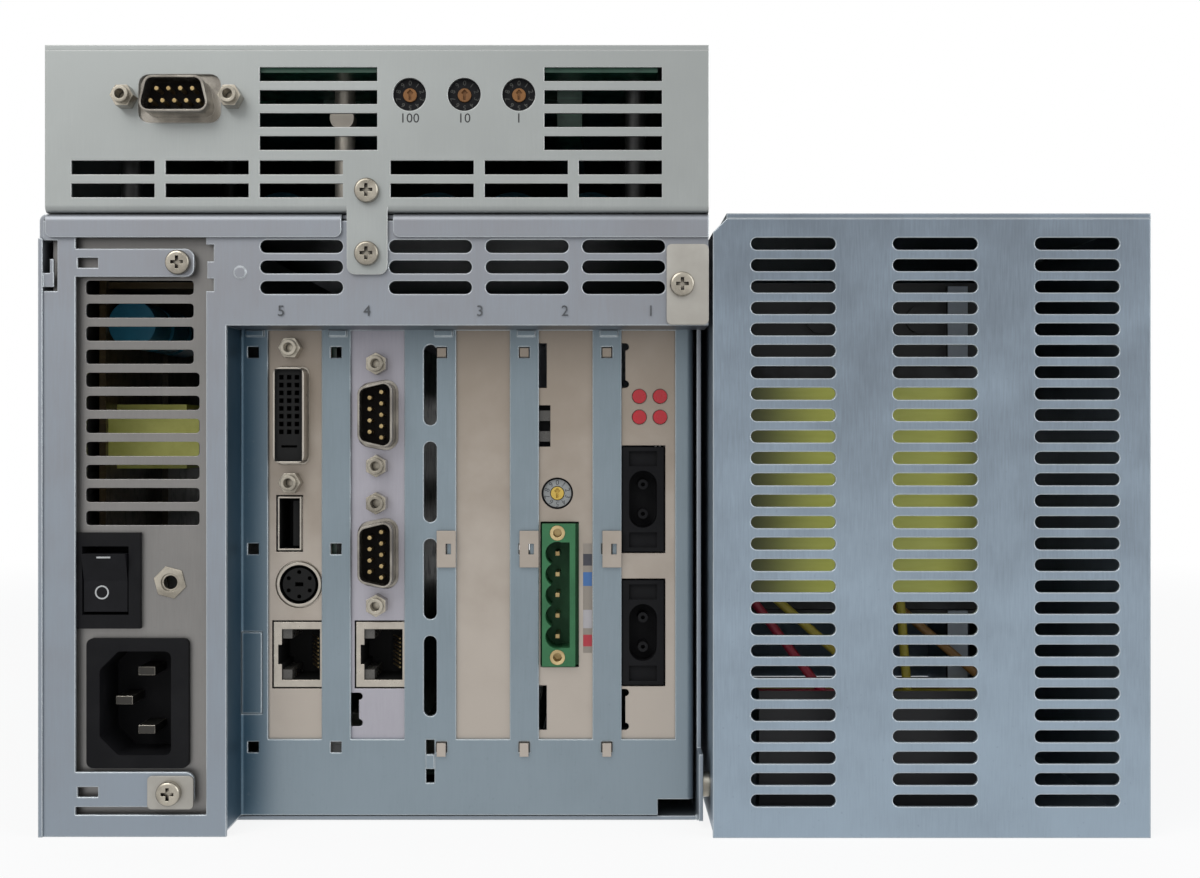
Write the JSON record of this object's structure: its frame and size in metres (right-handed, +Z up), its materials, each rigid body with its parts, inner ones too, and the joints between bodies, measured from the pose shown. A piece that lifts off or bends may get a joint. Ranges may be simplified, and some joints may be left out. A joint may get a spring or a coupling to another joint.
{
  "type": "industrial computer",
  "caption": "Box-shaped industrial computer with a card bay, vented power supply column, backup power unit on top and a vented side unit.",
  "frame": {"origin": "on the underside, at the middle of the width and of the case depth", "axes": "+X to the right seen from the port side, +Y from the port side towards the rear, +Z up"},
  "size_m": [0.262, 0.2458, 0.1866],
  "materials": {
    "zinc_sheet": "zinc-plated sheet, pale blue-grey with soft reflections",
    "backup_sheet": "neutral grey plated sheet",
    "supply_sheet": "warm grey plated sheet",
    "nickel": "nickel plate, slightly warm",
    "serial_plate": "pale lavender-grey plate",
    "black_plastic": "black moulded plastic",
    "rocker_plastic": "satin black with white marks",
    "dial_plastic": "orange-brown rotor",
    "brass": "gold-plated contacts",
    "green_board": "green solder mask",
    "brown_board": "tan circuit board",
    "socket_plastic": "ivory socket plastic",
    "green_plastic": "green terminal plastic",
    "red_lamp": "red lamp lens",
    "core_steel": "varnished laminations",
    "yellow_tape": "yellow tape round the winding",
    "cell_sleeve": "blue shrink sleeve",
    "wire_sleeve": "insulated leads and terminal block"
  },
  "bodies": {
    "case": {"front_panel": "zinc_sheet", "slot_panel": "zinc_sheet", "base_tray": "zinc_sheet", "left_cover": "zinc_sheet", "top_cover": "zinc_sheet", "rear_panel": "zinc_sheet", "side_front": "zinc_sheet", "side_chassis": "zinc_sheet", "side_cover": "zinc_sheet", "backup_chassis": "backup_sheet", "backup_cover": "backup_sheet", "psu_case": "supply_sheet", "unit_studs": "nickel", "hinge_bracket": "nickel", "panel_screws": "nickel", "ground_clips": "nickel", "board_standoffs": "nickel", "dsub_shells": "nickel", "jackscrews": "nickel", "transformer_bracket": "nickel", "inlet_pins": "nickel", "clamp_nut": "nickel", "clamp_plate": "nickel", "card_brackets": "nickel", "usb_port": "nickel", "lan_ports": "nickel", "serial_bracket": "serial_plate", "dial_housings": "black_plastic", "dsub_inserts": "black_plastic", "psu_inlet": "black_plastic", "switch_housing": "black_plastic", "dvi_port": "black_plastic", "ps2_port": "black_plastic", "optical_ports": "black_plastic", "main_fan_frame": "black_plastic", "side_fan_frame": "black_plastic", "contact_pins": "brass", "backup_board": "green_board", "backplane": "green_board", "system_board": "green_board", "serial_board": "green_board", "fieldbus_board": "green_board", "optical_board": "green_board", "psu_board": "brown_board", "card_sockets": "socket_plastic", "terminal_header": "green_plastic", "status_leds": "red_lamp", "transformer_core": "core_steel", "transformer_coil": "yellow_tape", "psu_transformer": "yellow_tape", "backup_battery": "cell_sleeve", "psu_capacitors": "cell_sleeve", "wire_loom": "wire_sleeve"},
    "rocker": {"switch_rocker": "rocker_plastic"},
    "hundreds_rotor": {"dial_hundreds": "dial_plastic"},
    "tens_rotor": {"dial_tens": "dial_plastic"},
    "ones_rotor": {"dial_ones": "dial_plastic"},
    "board_id_rotor": {"dial_board_id": "dial_plastic"},
    "main_rotor": {"main_fan_rotor": "black_plastic"},
    "side_rotor": {"side_fan_rotor": "black_plastic"}
  },
  "joints": [
    {"name": "power_rocker", "type": "hinge", "parent": "case", "child": "rocker", "pos_m": [-0.1157, -0.115, 0.06035], "axis": [-1, 0, 0], "range_deg": [0, 16]},
    {"name": "hundreds_dial", "type": "hinge", "parent": "case", "child": "hundreds_rotor", "pos_m": [-0.0434, -0.117, 0.175], "axis": [0, -1, 0], "continuous": true},
    {"name": "tens_dial", "type": "hinge", "parent": "case", "child": "tens_rotor", "pos_m": [-0.03055, -0.117, 0.175], "axis": [0, -1, 0], "continuous": true},
    {"name": "ones_dial", "type": "hinge", "parent": "case", "child": "ones_rotor", "pos_m": [-0.0177, -0.117, 0.175], "axis": [0, -1, 0], "continuous": true},
    {"name": "board_id_dial", "type": "hinge", "parent": "case", "child": "board_id_rotor", "pos_m": [-0.00912, -0.1, 0.0805], "axis": [0, -1, 0], "continuous": true},
    {"name": "main_fan", "type": "hinge", "parent": "case", "child": "main_rotor", "pos_m": [-0.0312, 0.109, 0.0735], "axis": [0, 1, 0], "continuous": true},
    {"name": "side_fan", "type": "hinge", "parent": "case", "child": "side_rotor", "pos_m": [0.0795, 0.109, 0.0735], "axis": [0, 1, 0], "continuous": true}
  ]
}
